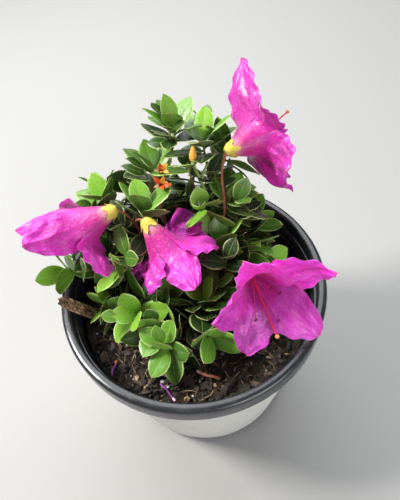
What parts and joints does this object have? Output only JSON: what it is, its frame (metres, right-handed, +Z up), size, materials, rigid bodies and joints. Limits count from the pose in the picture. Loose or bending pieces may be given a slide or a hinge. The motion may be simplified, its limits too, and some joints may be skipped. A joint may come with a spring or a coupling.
{
  "type": "potted dwarf rhododendron",
  "caption": "Small leafy evergreen shrub with large funnel-shaped magenta blooms, growing in compost in a tapered round pot that stands on its flat underside.",
  "frame": {"origin": "centre of the pot's flat underside", "axes": "+Z is up, -Y is the side that the picture was taken from and +X is to its right"},
  "size_m": [0.1413, 0.1391, 0.1772],
  "materials": {
    "pot_plastic": "smooth black injection-moulded plastic with a soft gloss",
    "wrap_film": "pale warm grey label film, satin, with nothing printed on it",
    "compost": "dark moist bark compost, coarse and matt",
    "bark_chip": "torn fibrous bark, matt",
    "bark": "thin rough grey-brown bark",
    "leaves": "finely haired green leaves with a low gloss",
    "petals": "thin matt magenta petals"
  },
  "bodies": {
    "root": {"pot": "pot_plastic", "wrap": "wrap_film", "compost": "compost", "bark_chip": "bark_chip", "trunk": "bark", "bough_back": "bark", "bough_right_upper": "bark", "bough_mid_left": "bark", "bough_back_left": "bark", "bough_left": "bark", "bough_right": "bark", "bough_back_low": "bark", "bough_low_left": "bark", "bough_front": "bark", "bloom_left": "petals", "bloom_middle": "petals", "bloom_upper": "petals", "bloom_right": "petals", "foliage_top_left": "leaves", "foliage_top_middle": "leaves", "foliage_bud": "leaves", "foliage_back_left": "leaves", "foliage_right_upper": "leaves", "foliage_left": "leaves", "foliage_mid_left": "leaves", "foliage_far_left": "leaves", "foliage_low_left": "leaves", "foliage_front_left": "leaves", "foliage_front": "leaves", "foliage_front_right": "leaves", "foliage_middle": "leaves", "foliage_right": "leaves", "foliage_low_right": "leaves", "foliage_back_low": "leaves", "foliage_back_right": "leaves"}
  },
  "joints": []
}
